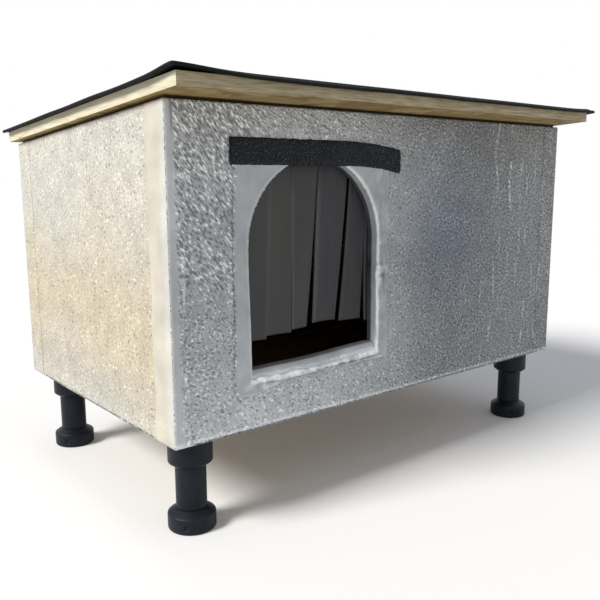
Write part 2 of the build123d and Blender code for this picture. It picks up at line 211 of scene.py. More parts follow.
def add(tree, kind, inputs=None, out=0, stops=(), **settings):
    """Adds a shader node with its properties, values and links, and returns one of its outputs.

    Stops are a colour ramp's rising pairs of position and hex value.
    """
    made = tree.nodes.new("ShaderNode" + kind)
    for key, value in settings.items():
        setattr(made, key, value)
    for key, value in (inputs or {}).items():
        if isinstance(value, bpy.types.NodeSocket):
            tree.links.new(value, made.inputs[key])
        else:
            made.inputs[key].default_value = value
    for position, _ in stops[2:]:
        made.color_ramp.elements.new(position)
    for i, (position, code) in enumerate(stops):
        made.color_ramp.elements[i].position = position
        made.color_ramp.elements[i].color = colour(code)
    return made.outputs[out] if made.outputs else made


def surface(name, build, shader="BsdfPrincipled"):
    """Material whose nodes a function adds. It returns the inputs of the surface's shader."""
    material = bpy.data.materials.new(name)
    material.use_nodes = True
    tree = material.node_tree
    tree.nodes.clear()
    add(tree, "OutputMaterial", {"Surface": add(tree, shader, build(tree))})
    return material


def speckle(tree, size, detail=2.0, stretch=(1, 1, 1), turn=(0, 0, 0), roughness=0.5):
    """Noise over Object coordinates whose grains have a size in metres, stretched and turned."""
    place = add(tree, "TexCoord", out="Object")
    scaled = add(tree, "Mapping", {"Vector": place, "Scale": [size * s for s in stretch], "Rotation": turn},
                 vector_type="TEXTURE")
    return add(tree, "TexNoise", {"Vector": scaled, "Scale": 1.0, "Detail": detail, "Roughness": roughness})


def foil_nodes(tree):
    """Stucco-embossed aluminium foil: dull rolled metal with pits about 3 mm apart.

    The piece's attributes say where it is painted lighter or darker, which is painted light and
    reflection over a little random tone, where painted reflections tint it warmer or cooler, where it
    is rubbed smooth, and where it is pressed in slanting strokes. A piece without them has 0 for
    each, which is plain pitted foil.
    """
    tone_and_painted_light, painted_reflection_warmth, smooth, slant = (add(tree, "Attribute", out="Fac", attribute_name=name)
                                   for name in ("tone_and_painted_light", "painted_reflection_warmth", "smooth", "slant"))
    pits = speckle(tree, 2.5 * MM, 1.0, (1.4, 1.4, 1), (0, math.radians(25), 0))
    strokes = speckle(tree, 2.0 * MM, 1.0, (2.4, 2.4, 1), (0, math.radians(48), 0))
    pressed = add(tree, "Mix", {0: slant, 2: pits, 3: strokes})
    contrast = add(tree, "MapRange", {"Value": smooth, "To Min": 1.25, "To Max": 0.2})
    pressed = add(tree, "Math", {0: pressed, 1: 0.5}, operation="SUBTRACT")
    pressed = add(tree, "Math", {0: pressed, 1: contrast, 2: 0.5}, operation="MULTIPLY_ADD")
    # The ramp paints the relief's light into the colour: dark in the pits as painted shade, near white on the
    # crests as painted highlights.
    metal = add(tree, "ValToRGB", {"Fac": pressed},
                stops=((0.30, "75797a"), (0.42, "b2b5b7"), (0.60, "b9bcbd"), (0.72, "f2f3f3")))
    clouds = speckle(tree, 26 * MM, 3)
    clouds = add(tree, "ValToRGB", {"Fac": clouds}, stops=((0.3, "e6e7e7"), (0.7, "ffffff")))
    # Painted light: the lightness attribute brightens or darkens the foil, and the tan and blue tints are painted
    # reflections.
    brighter = add(tree, "Math", {0: tone_and_painted_light, 1: 1.0}, operation="ADD")
    painted_reflection_coolness = add(tree, "Math", {0: painted_reflection_warmth, 1: -1.0}, operation="MULTIPLY")
    tan, blue = colour("f5dfb9"), colour("c9d6ee")
    for share, tint in ((1.0, clouds), (1.0, brighter), (painted_reflection_warmth, tan), (painted_reflection_coolness, blue)):
        metal = add(tree, "Mix", {0: share, 6: metal, 7: tint}, 2, **MULTIPLY)
    plateau = add(tree, "MapRange", {"Value": pressed, "From Min": 0.34, "From Max": 0.62})
    pitted = add(tree, "Math", {0: smooth, 1: -1.5, 2: 1.0}, operation="MULTIPLY_ADD", use_clamp=True)
    bump = add(tree, "Bump", {"Height": plateau, "Distance": 1.0 * MM, "Strength": pitted})
    bump = add(tree, "Bump", {"Height": speckle(tree, 3 * MM, 4), "Distance": 0.4 * MM, "Normal": bump})
    return {"Base Color": metal, "Metallic": 0.3, "Roughness": 0.42, "Normal": bump}


def strand_board_nodes(tree):
    """Oriented strand board: pressed flakes of softwood, with the layers showing at sawn edges.

    Three layers of flakes, 48 mm by 13 mm, lie at three angles. Edges that face along X are
    painted paler, as a lit copy of the sawn edge. What lies within the walls and under the lid is
    painted a little darker, as painted shade inside the house.
    """
    place = add(tree, "TexCoord", out="Object")
    normal = add(tree, "TexCoord", out="Normal")
    face = colour("b69d6b")
    for turn, uncovered in ((72, 0.0), (-38, 0.5), (8, 0.5)):
        laid = add(tree, "Mapping", {"Vector": place, "Rotation": (0, 0, math.radians(turn)),
                                     "Scale": (48 * MM, 13 * MM, 13 * MM)}, vector_type="TEXTURE")
        flake = add(tree, "TexVoronoi", {"Vector": laid, "Scale": 1.0}, "Color")
        chance = add(tree, "SeparateColor", {"Color": flake}, "Red")
        age = add(tree, "SeparateColor", {"Color": flake}, "Green")
        lies_over = add(tree, "Math", {0: chance, 1: uncovered}, operation="GREATER_THAN")
        shade = add(tree, "ValToRGB", {"Fac": age},
                    stops=((0.0, "a08758"), (0.4, "b69d6b"), (0.8, "c5b07e"), (1.0, "d3c294")))
        face = add(tree, "Mix", {0: lies_over, 6: face, 7: shade}, 2, **BLEND)
    fibres = add(tree, "ValToRGB", {"Fac": speckle(tree, 2.5 * MM, 3, (9, 1.5, 4))},
                 stops=((0.3, "cfc4b0"), (0.7, "ffffff")))
    face = add(tree, "Mix", {0: 1.0, 6: face, 7: fibres}, 2, **MULTIPLY)
    layers = speckle(tree, 2.2 * MM, 3, (14, 14, 1), roughness=0.6)
    edge = add(tree, "ValToRGB", {"Fac": layers},
               stops=((0.26, "54482f"), (0.34, "b3a27f"), (0.5, "cdbf9d"), (0.72, "e9e0c3")))
    # A paler copy of the edge colour, painted light for edges that face along X.
    painted_lit_edge = add(tree, "ValToRGB", {"Fac": layers},
                stops=((0.24, "8f8162"), (0.33, "d6ccab"), (0.5, "eae3c8"), (0.72, "f8f3e0")))
    for axis, looks in (("X", painted_lit_edge), ("Z", face)):
        facing = add(tree, "SeparateXYZ", {"Vector": normal}, axis)
        facing = add(tree, "Math", {0: facing}, operation="ABSOLUTE")
        facing = add(tree, "Math", {0: facing, 1: 0.7}, operation="GREATER_THAN")
        edge = add(tree, "Mix", {0: facing, 6: edge, 7: looks}, 2, **BLEND)
    sideways = add(tree, "SeparateXYZ", {"Vector": place}, "X")
    sideways = add(tree, "Math", {0: sideways}, operation="ABSOLUTE")
    level = add(tree, "SeparateXYZ", {"Vector": place}, "Z")
    # Painted shade: within the walls and under the lid the board is multiplied darker.
    inside = 1.0
    for value, side, limit in ((sideways, "LESS_THAN", right_x - cladding_t - 1 * MM),
                               (level, "GREATER_THAN", base_z + 1 * MM),
                               (level, "LESS_THAN", top_z - 26 * MM)):
        within = add(tree, "Math", {0: value, 1: limit}, operation=side)
        inside = add(tree, "Math", {0: inside, 1: within}, operation="MULTIPLY")
    shade = add(tree, "Mix", {0: inside, 6: edge, 7: colour("efe2d2")}, 2, **MULTIPLY)
    bump = add(tree, "Bump", {"Height": layers, "Distance": 0.4 * MM})
    return {"Base Color": shade, "Roughness": 0.72, "Specular IOR Level": 0.35, "Normal": bump}


def wood_nodes(tree):
    """Planed spruce: pale wood with fine long grain."""
    grain = speckle(tree, 2.5 * MM, 4, (1, 1, 14))
    shade = add(tree, "ValToRGB", {"Fac": grain}, stops=((0.3, "b9955c"), (0.7, "e2c793")))
    bump = add(tree, "Bump", {"Height": grain, "Distance": 0.2 * MM})
    return {"Base Color": shade, "Roughness": 0.6, "Normal": bump}


def felt_nodes(tree):
    """Mineral roofing felt: bitumen under dark slate grit of 1.5 mm, with single pale grains."""
    grit = speckle(tree, 1.5 * MM, 2)
    ground = speckle(tree, 24 * MM, 2)
    ground = add(tree, "ValToRGB", {"Fac": ground}, stops=((0.35, "0e1015"), (0.65, "161d21")))
    pale = add(tree, "ValToRGB", {"Fac": grit}, stops=((0.56, "000000"), (0.72, "ffffff")))
    shade = add(tree, "Mix", {0: pale, 6: ground, 7: colour("66707a")}, 2, **BLEND)
    bump = add(tree, "Bump", {"Height": grit, "Distance": 0.8 * MM})
    return {"Base Color": shade, "Roughness": 0.82, "Specular IOR Level": 0.3, "Normal": bump}


def membrane_nodes(tree):
    """Bitumen membrane: black and slightly waxy, dusty in patches of 9 mm, with a fine grain."""
    dust = speckle(tree, 9 * MM, 4)
    shade = add(tree, "ValToRGB", {"Fac": dust}, stops=((0.4, "07080a"), (0.75, "191a1d")))
    bump = add(tree, "Bump", {"Height": dust, "Distance": 0.5 * MM})
    bump = add(tree, "Bump", {"Height": speckle(tree, 1.4 * MM, 2), "Distance": 0.15 * MM, "Normal": bump})
    return {"Base Color": shade, "Roughness": 0.7, "Specular IOR Level": 0.15, "Normal": bump}


def curtain_nodes(tree):
    """Soft plasticised vinyl sheet: dark grey, satin and faintly clouded; its attributes paint strips lighter as
    painted light and paint highlights along cut edges and folds.
    """
    rim, tone_and_painted_light = (add(tree, "Attribute", out="Fac", attribute_name=name) for name in ("rim", "tone_and_painted_light"))
    clouds = speckle(tree, 16 * MM, 3, (1, 1, 4))
    shade = add(tree, "ValToRGB", {"Fac": clouds}, stops=((0.3, "303135"), (0.7, "3c3d41")))
    # The first mix paints strips lighter as painted light, the second paints highlights on edges and folds.
    for share, pale in ((tone_and_painted_light, "494a48"), (rim, "6a6b6f")):
        shade = add(tree, "Mix", {0: share, 6: shade, 7: colour(pale)}, 2, **BLEND)
    bump = add(tree, "Bump", {"Height": clouds, "Distance": 0.5 * MM})
    return {"Base Color": shade, "Roughness": 0.5, "Specular IOR Level": 0.35, "Normal": bump}


def foam_nodes(tree):
    """Closed-cell rubber foam: matt dark brown, with cells of 1.2 mm on its cut faces."""
    cells = speckle(tree, 1.2 * MM, 2)
    shade = add(tree, "ValToRGB", {"Fac": cells}, stops=((0.35, "2a2016"), (0.65, "423421")))
    bump = add(tree, "Bump", {"Height": cells, "Distance": 0.3 * MM})
    return {"Base Color": shade, "Roughness": 0.9, "Normal": bump}


def leg_nodes(tree):
    """Moulded polypropylene: slate black, satin, with the fine spark-eroded grain of the mould."""
    clouds = speckle(tree, 22 * MM, 2)
    shade = add(tree, "ValToRGB", {"Fac": clouds}, stops=((0.35, "12171f"), (0.65, "19202a")))
    bump = add(tree, "Bump", {"Height": speckle(tree, 0.9 * MM, 2), "Distance": 0.06 * MM})
    return {"Base Color": shade, "Roughness": 0.45, "Specular IOR Level": 0.2, "Normal": bump}


def steel_nodes(tree):
    """Zinc-plated steel: rolled and barrel plated, cool grey with faint clouds of 5 mm."""
    cloud = speckle(tree, 5 * MM, 3)
    shade = add(tree, "ValToRGB", {"Fac": cloud}, stops=((0.3, "6c7073"), (0.7, "96999a")))
    bump = add(tree, "Bump", {"Height": cloud, "Distance": 0.05 * MM})
    return {"Base Color": shade, "Metallic": 1.0, "Roughness": 0.34, "Normal": bump}


# Finish of each material slot
finishes = {
    "cladding_foil": surface("embossed_aluminium_foil", foil_nodes),
    "foil_tape": surface("aluminium_tape", foil_nodes),
    "osb": surface("oriented_strand_board", strand_board_nodes),
    "batten_wood": surface("planed_spruce", wood_nodes),
    "roofing_felt": surface("mineral_roofing_felt", felt_nodes),
    "roof_membrane": surface("bitumen_membrane", membrane_nodes),
    "curtain_sheet": surface("soft_vinyl_sheet", curtain_nodes),
    "seal_foam": surface("rubber_foam", foam_nodes),
    "hinge_steel": surface("zinc_plated_steel", steel_nodes),
    "leg_plastic": surface("moulded_polypropylene", leg_nodes),
}
finishes["screw_steel"] = finishes["hinge_steel"]


# Foil on the walls

embossing_depth = 0.15 * MM
edge_roll = 1.2 * MM
crease_places = [k * MM for k in (455, 478, 492, 510, 531, 548, 566, 583)]
crease_depths = [k * MM for k in (0.6, 0.9, 0.6, 1.4, 0.9, 1.2, 0.6, 0.8)]


def doorway_distance(x, z):
    """How far a point lies outside the doorway, negative inside: a circle above the spring, a box below."""
    across = np.abs(x - door_x) - door_half
    below = outer_sill - z
    crown = np.hypot(x - door_x, z - spring_z) - door_half
    return np.where(z > spring_z, crown, np.maximum(across, below))


def snapped_to_doorway(x, z, step):
    """Moves the points that lie within half a step of the doorway's outline onto it, along the gradient."""
    tiny = 0.01 * MM
    distance = doorway_distance(x, z)
    slope_x = (doorway_distance(x + tiny, z) - distance) / tiny
    slope_z = (doorway_distance(x, z + tiny) - distance) / tiny
    near = np.abs(distance) < 0.55 * step
    return x - near * distance * slope_x, z - near * distance * slope_z


def front_marks(along, z):
    """Creases and look of the front foil, with painted reflections: pale at the left, duller to the right, lighter
    low on the left, darker at the top right, bluish in the middle and warmer high up; the creases and the bottom
    edge are painted lighter as highlights.
    """
    level = z - base_z
    creases = 0
    for k, (place, depth) in enumerate(zip(crease_places, crease_depths)):
        swerve = 5 * MM * noise(level / (40 * MM), 0 * level + k, 70 + k)
        broken = ramp(noise(level / (24 * MM), 0 * level + 3 * k, 80 + k), -0.2, 0.7)
        creases = creases + depth * bump_of(along + swerve, place, 1.5 * MM) * broken
    slow = noise(along / (90 * MM), level / (70 * MM), 60)
    # Painted light: reflections pale at the left, duller to the right, lighter low on the left and darker at the
    # top right, with painted highlights on the bottom edge and on the creases.
    tone_and_painted_light = (0.27 - 0.57 * ramp(along, 170 * MM, 400 * MM) + 0.1 * slow
            + 0.36 * ramp(level, 140 * MM, 0) * ramp(along, 420 * MM, 60 * MM)
            - 0.08 * ramp(level, 230 * MM, 300 * MM) * ramp(along, 300 * MM, 450 * MM)
            + 0.75 * ramp(level, 6 * MM, 2.5 * MM) + 0.7 * creases / MM)
    # Painted reflections: a bluish patch in the middle and a warmer band high up.
    cool = bump_of(along, 385 * MM, 75 * MM) * bump_of(level, 180 * MM, 85 * MM)
    green = ramp(level, 240 * MM, 310 * MM)
    slant = bump_of(along, 48 * MM, 45 * MM) * ramp(level, 110 * MM, 170 * MM)
    slant = slant + (0.35 + 0.3 * slow) * ramp(along, 420 * MM, 200 * MM)
    return creases, {"tone_and_painted_light": tone_and_painted_light, "painted_reflection_warmth": 0.12 * green - 0.7 * cool - 0.1, "smooth": 0 * along,
                     "slant": np.clip(slant, 0, 1)}


def plain_marks(along, z):
    """Look of the foil at the rear and the right: evenly embossed, painted a little lighter, with slow patches of
    painted reflection, lighter or duller, warmer or cooler.
    """
    slow = noise(along / (120 * MM), (z - base_z) / (80 * MM), 62)
    return 0 * along, {"tone_and_painted_light": 0.3 + 0.14 * slow, "painted_reflection_warmth": 0.12 * slow, "smooth": 0.12 + 0 * along,
                       "slant": np.clip(0.3 + 0.4 * slow, 0, 1)}


def side_marks(along, z):
    """Look of the left wall's foil: smoother, painted bright as the sunlit side, with a painted tan reflection at
    middle height and whiter above and below.
    """
    level = z - base_z
    slow = noise(along / (110 * MM), level / (60 * MM), 61)
    middle = bump_of(level, 110 * MM, 85 * MM)
    dull = bump_of(level, 36 * MM, 22 * MM)
    tone_and_painted_light = 0.64 + 0.08 * slow + 0.05 * ramp(level, 150 * MM, 290 * MM) - 0.16 * dull
    return 0 * along, {"tone_and_painted_light": tone_and_painted_light, "painted_reflection_warmth": np.clip(0.38 + 0.42 * middle + 0.12 * slow, 0, 1),
                       "smooth": 0.46 + 0 * along, "slant": 0 * along}


def foil_panel(side, corner, along, outward, width, marks, step, seed):
    """Embossed foil on one wall, with the doorway cut out of the front one.

    A grid of distance along the wall and share of its height. Each point stands back from the
    wall's plane by the embossing, rolls inwards over the lower edge as a quarter circle, and
    stands out by the creases. A rim and a flat back close it to a panel.
    """
    columns, rows = round(width / step) + 1, round((top_z - base_z) / step) + 1
    s, t = np.meshgrid(np.linspace(0, width, columns), np.linspace(0, 1, rows))
    y = corner[1] + s * along[1]
    z = base_z + t * (wall_top(y) - base_z)
    if side == "front":
        x, z = snapped_to_doorway(corner[0] + s, z, step)
        s = x - corner[0]
    creases, look = marks(s, z)
    height = embossing(s, z, seed)
    roll = np.clip(1 - (z - base_z) / edge_roll, 0, 1)
    stand = embossing_depth * (height - 1) + creases - edge_roll * (1 - np.sqrt(1 - 0.96 * roll**2))
    points = np.array(corner) + s[..., None] * along + (z - base_z)[..., None] * UP
    points = points + stand[..., None] * outward
    faces = grid_faces(rows, columns)
    if side == "front":
        middle_x = s.ravel()[faces].mean(1) + corner[0]
        middle_z = z.ravel()[faces].mean(1)
        faces = faces[doorway_distance(middle_x, middle_z) > 0]
    points = points.reshape(-1, 3)
    edges = np.concatenate([faces[:, [i, (i + 1) % 4]] for i in range(4)])
    _, first, count = np.unique(np.sort(edges, 1), axis=0, return_index=True, return_counts=True)
    rim = edges[first[count == 1]]
    back = points - (points - np.array(corner)) @ np.outer(outward, outward) - cladding_t * outward
    total = len(points)
    walls = np.stack([rim[:, 1], rim[:, 0], rim[:, 0] + total, rim[:, 1] + total], -1)
    look = {key: np.tile(values.ravel(), 2) for key, values in look.items()}
    piece = mesh_piece(f"{side}_foil", np.vstack([points, back]), np.vstack([faces, walls]),
                       finishes["cladding_foil"], look)
    with edited(piece) as mesh:
        bmesh.ops.delete(mesh, geom=[v for v in mesh.verts if not v.link_faces], context="VERTS")
        open_edges = [edge for edge in mesh.edges if edge.is_boundary]
        bmesh.ops.triangle_fill(mesh, edges=open_edges, normal=[-n for n in outward])
    fit(piece, "cladding_foil", "house", f"{side}_cladding")


def add_foil():
    """One panel of foil for each wall."""
    width, depth = right_x - left_x, rear_y - front_y - 2 * cladding_t
    x_way, y_way = np.array([1.0, 0, 0]), np.array([0, 1.0, 0])
    front_inner, rear_inner = front_y + cladding_t, rear_y - cladding_t
    foil_panel("front", (left_x, front_y, base_z), x_way, -y_way, width, front_marks, 1.6 * MM, 11)
    foil_panel("rear", (right_x, rear_y, base_z), -x_way, y_way, width, plain_marks, 2.2 * MM, 12)
    foil_panel("left", (left_x, rear_inner, base_z), -y_way, -x_way, depth, side_marks, 1.8 * MM, 13)
    foil_panel("right", (right_x, front_inner, base_z), y_way, x_way, depth, plain_marks, 2.2 * MM, 14)


# Aluminium tape


def corner_tape(node, corner, along, aside, widths, seed, face_look, side_look, smooth):
    """Tape folded round an upright corner. Its widths are those on the face and on the side wall.

    Distance across the tape runs in along one face, round a quarter circle at the corner and in
    along the other. Height is a share of the wall's height. Creases stand out along the normal.
    A rubbed-down tape looks like the foil beneath. A smooth one stays smooth on the side wall and
    near the corner, where it is painted bright and warm as the sunlit side. It has a fold 9 mm from
    it, painted dark as its shade, and a ridge 14 mm from it, painted bright as its highlight; its low
    crease and its wrinkles on the face are painted lighter as highlights.
    """
    radius, film = 2 * MM, 0.3 * MM
    arc = radius * math.pi / 2
    face_width, side_width = widths
    columns, rows = round((side_width + face_width) / MM), 220
    across = np.linspace(-side_width - arc / 2, face_width + arc / 2, columns)
    s, t = np.meshgrid(across, np.linspace(0, 1, rows))
    turn = np.clip((s + arc / 2) / arc, 0, 1) * math.pi / 2
    on_face = np.clip(s - arc / 2, 0, None)
    on_side = np.clip(-s - arc / 2, 0, None)
    ragged = 1 + 0.05 * noise(t * 14, 0 * t, seed + 5)
    face_part = (radius * (1 - np.sin(math.pi / 2 - turn)) + on_face) * ragged
    side_part = (radius * (1 - np.sin(turn)) + on_side) * ragged
    plane = np.array(corner) + face_part[..., None] * along + side_part[..., None] * aside
    z = base_z + t * (wall_top(plane[..., 1]) - base_z)
    wrinkle = 0.5 * crumple(s + 0.5, 0.3 * z, 14 * MM, seed) + 0.5 * crumple(s, z, 22 * MM, seed + 2)
    _, on_side_wall = side_look(s, z)
    look = {key: np.where(s > 0, face_look(s, z)[1][key], values) for key, values in on_side_wall.items()}
    height = film + 0.2 * MM * wrinkle
    if smooth:
        dashes = ramp(noise(t * 13, 0 * t, seed + 7), -0.1, 0.5) * ramp(t, 0.3, 0.5)
        fold = bump_of(s, 8 * MM + 1.6 * MM * noise(t * 9, 0 * t, seed + 8), 1.2 * MM) * ramp(t, 0.40, 0.52)
        fold = fold * ramp(noise(t * 7, 0 * t, seed + 6), -0.6, 0.1)
        ridge = bump_of(s, 14 * MM + 1.2 * MM * noise(t * 11, 0 * t, seed + 9), 1.4 * MM) * dashes
        low_crease = bump_of(s, 13 * MM + 12 * MM * ramp(t, 0.2, 0.06), 1.2 * MM) * ramp(t, 0.24, 0.2)
        height = height + MM * (0.9 * ridge - 0.25 * fold + 0.5 * low_crease)
        # Painted light: the side wall bright and warm, the fold dark as painted shade, and the ridge, the low
        # crease and the wrinkles lighter as painted highlights.
        on_left = ramp(s, 1 * MM, -1 * MM)
        look["smooth"] = np.maximum(on_left, ramp(s, 10 * MM, 5 * MM))
        look["painted_reflection_warmth"] = on_left * (0.3 + 0.25 * ramp(-s, 6 * MM, 14 * MM)) + (1 - on_left) * look["painted_reflection_warmth"]
        look["tone_and_painted_light"] = (on_left * 0.78 + (1 - on_left) * (look["tone_and_painted_light"] + 0.15 * wrinkle) - 0.8 * fold
                        + 0.55 * ridge + 0.5 * low_crease)
    edge_in = np.minimum(s + side_width + arc / 2, face_width + arc / 2 - s)
    height = 0.1 * MM + (height - 0.1 * MM) * ramp(edge_in, -0.1 * MM, 3 * MM)
    normal = -np.cos(turn)[..., None] * along - np.sin(turn)[..., None] * aside
    points = plane + height[..., None] * normal
    points[..., 2] = z
    faces = grid_faces(rows, columns)
    if np.cross(along, aside)[2] < 0:
        faces = faces[:, ::-1]
    piece = mesh_piece(f"folded_{node}", points, faces, finishes["foil_tape"], look)
    thicken(piece, film)
    fit(piece, "foil_tape", "house", node)


def front_marks_from_right(inwards, z):
    """Look of the front foil at a distance from its right end."""
    return front_marks(right_x - left_x - inwards, z)


def add_corner_tapes():
    """The four upright corners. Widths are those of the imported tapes."""
    for end, side, x_sign, y_sign, seed, face_look, side_look in (
            ("front", "left", 1, 1, 21, front_marks, side_marks),
            ("rear", "left", 1, -1, 31, plain_marks, side_marks),
            ("front", "right", -1, 1, 19, front_marks_from_right, plain_marks),
            ("rear", "right", -1, -1, 29, plain_marks, plain_marks)):
        node = f"corner_tape_{end}_{side}"
        low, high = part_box(node)
        corner = (left_x if x_sign > 0 else right_x, front_y if y_sign > 0 else rear_y, base_z)
        corner_tape(node, corner, np.array([x_sign, 0.0, 0]), np.array([0, y_sign, 0.0]),
                    (high.x - low.x, high.y - low.y), seed, face_look, side_look,
                    smooth=node == "corner_tape_front_left")


def doorway_outline(columns):
    """Points and outward directions round the doorway.

    The outline runs up the left jamb, over the crown, down the right jamb and back along the
    sill. The lower corners are quarter circles, so that the tape turns there as a fold does.
    """
    bend, quarter = 3 * MM, math.pi / 2
    low, half_sill = outer_sill + bend, door_half - bend
    jamb = spring_z - low
    lengths = [jamb, math.pi * door_half, jamb, bend * quarter, 2 * half_sill, bend * quarter]
    starts = np.concatenate([[0], np.cumsum(lengths)])
    u = np.linspace(0, starts[-1], columns, endpoint=False)
    part = np.searchsorted(starts, u, side="right") - 1
    d = u - starts[part]
    turn = np.choose(part, [math.pi, math.pi - d / door_half, 0, -d / bend, -quarter, -quarter - d / bend])
    out_x, out_z = np.cos(turn), np.sin(turn)
    x = door_x + np.choose(part, [-door_half, door_half * out_x, door_half, half_sill + bend * out_x,
                                  half_sill - d, -half_sill + bend * out_x])
    z = np.choose(part, [low + d, spring_z + door_half * out_z, spring_z - d, low + bend * out_z,
                         outer_sill, low + bend * out_z])
    return u, x, z, out_x, out_z


def add_door_tape():
    """Tape round the doorway: a patch on the foil, a fold at the rim and a lining through the wall.

    Round the outline runs the first parameter. The second goes from the patch's straight border
    in to the rim, through a quarter circle, and back along the thickness of the wall, where the
    sill climbs to the board's own. Creases stand out along the normal, most at sill and right jamb.
    """
    fold, lift, film, least_stand = 1.8 * MM, 0.5 * MM, 0.3 * MM, 0.15 * MM
    columns, on_face, on_fold, inside = 900, 26, 8, 16
    u, x, z, out_x, out_z = doorway_outline(columns)
    along = x - left_x
    sill_share = ramp(out_z, -0.4, -0.95)
    right_share = ramp(out_x, 0.6, 0.98) * (1 - sill_share)
    left_share = ramp(-out_x, 0.6, 0.98) * (1 - sill_share)
    lean = 3.4 * MM * ramp(spring_z - z, -40 * MM, 120 * MM) - 1.4 * MM
    x = x - out_x * lean * left_share
    rise = 4 * MM * ramp(along, 150 * MM, 262 * MM) * sill_share
    z = z + rise
    lip = 10 * MM * ramp(along, 140 * MM, 86 * MM) + 6 * MM
    far = tape_side * (1 + 0.06 * noise(u / (35 * MM), 0 * u, 41))
    reach_x = np.where(out_x > 0, door_x + door_half + far - x, x - (door_x - door_half - far))
    reach_z = np.where(out_z > 0, tape_high.z - z, z - (outer_sill - lip))
    reach_x = reach_x / np.maximum(np.abs(out_x), 1e-3)
    reach_z = reach_z / np.maximum(np.abs(out_z), 1e-3)
    reach = np.maximum(np.minimum(reach_x, reach_z), fold + 0.5 * MM)
    share = np.linspace(0, 1, on_face)[:, None]
    bend = np.linspace(0, math.pi / 2, on_fold + 1)[1:, None]
    wall = np.linspace(fold, wall_inner_y - front_y, inside + 1)[1:, None]
    away = np.vstack([reach * (1 - share) + fold * share, fold * (1 - np.sin(bend)) + 0 * u,
                      0 * wall + 0 * u])
    deep = np.vstack([0 * share, fold * (1 - np.cos(bend)), wall]) + 0 * u
    turn = np.arccos(np.clip(1 - deep / fold, 0, 1))
    px, pz = x + out_x * away, z + out_z * away
    steps = np.hypot(np.diff(away, axis=0, prepend=away[:1]), np.diff(deep, axis=0, prepend=deep[:1]))
    distance = np.cumsum(steps, 0)
    round_rim = u + 0 * away
    border = ramp(away, reach, 0.75 * reach)
    lumpy = ramp(noise(u / (20 * MM), 0 * u, 46), -0.2, 0.5)
    rough = (0.12 + (0.3 + 0.8 * lumpy) * right_share + 1.0 * sill_share) * border
    broad = crumple(0.5 * round_rim, distance, 8 * MM, 42)
    fine = crumple(0.6 * round_rim, distance, 4 * MM, 44)
    lining = crumple(round_rim, 0.5 * distance, 24 * MM, 47)
    creased = np.where(deep > fold, 0.5 * lining, broad + 0.6 * fine)
    # A painted shadow runs along the sill below its crumpled ridge; it changes only the colour.
    under_ridge = 4.4 * MM + 0.9 * MM * noise(u / (25 * MM), 0 * u, 45)
    painted_crumple_shadow = sill_share * bump_of(away, under_ridge, 1.2 * MM) * (deep < 0.5 * MM)
    painted_crumple_shadow = painted_crumple_shadow * ramp(along, 92 * MM, 110 * MM)
    ridge = sill_share * bump_of(away, 1.5 * MM, 2.2 * MM) * (deep < 2 * MM)
    stand = lift * (0.5 + 0.5 * border) + MM * (1.4 * rough * (0.4 + creased) + 0.9 * ridge)
    stand = np.maximum(stand, least_stand)
    sill_climb = outer_sill + rise + (board_sill + 1.7 * MM - outer_sill) * ramp(deep, 0.5 * MM, 4.5 * MM)
    px = px - np.sin(turn) * out_x * (stand - lift)
    pz = np.maximum(pz - np.sin(turn) * out_z * (stand - lift), np.where(deep > 0.4 * MM, sill_climb, -1))
    py = front_y + deep - np.cos(turn) * stand
    points = np.stack([px, py, pz], -1)
    faces = grid_faces(len(deep), columns, closed=True)
    _, look = front_marks(along + 0 * away, pz)
    # Painted light on the tape: a highlight along the rim, a reflection on the right jamb and the right of the
    # crown, highlights on the sill's ridge and crumples, lighter where the sill faces up, and painted shade in the
    # reveal and under the sill's ridge.
    patch = ramp(distance, 0, 0.2 * reach)
    rim = bump_of(deep, 0.8 * MM, 1.6 * MM) * ramp(away, 4 * MM, 0)
    crown_right = ramp(out_x, 0.1, 0.5) * ramp(out_z, 0.1, 0.5)
    reveal = ramp(deep, 1.5 * MM, 2.5 * MM)
    painted_reveal_reflection = np.maximum(right_share, crown_right) * ramp(deep, 10 * MM, 7.5 * MM)
    look["tone_and_painted_light"] = ((look["tone_and_painted_light"] - 0.17) * (deep < fold) + 0.2 * sill_share * patch + 0.6 * rim
                    + (0.9 * rim + 1.3 * painted_reveal_reflection * reveal) * np.maximum(right_share, crown_right)
                    + 0.3 * ridge * (0.4 + creased) - 0.75 * painted_crumple_shadow + 0.45 * rough * (creased - 0.3)
                    - 0.62 * reveal * (1 - sill_share) * (1 - painted_reveal_reflection) - 0.15 * reveal * sill_share)
    look["smooth"] = border
    look["slant"] = 0 * away
    piece = mesh_piece("folded_door_tape", points, faces, finishes["foil_tape"], look)
    thicken(piece, film)
    fit(piece, "foil_tape", "house", "door_tape")


# Felt strip and roof

membrane_t = 3 * MM


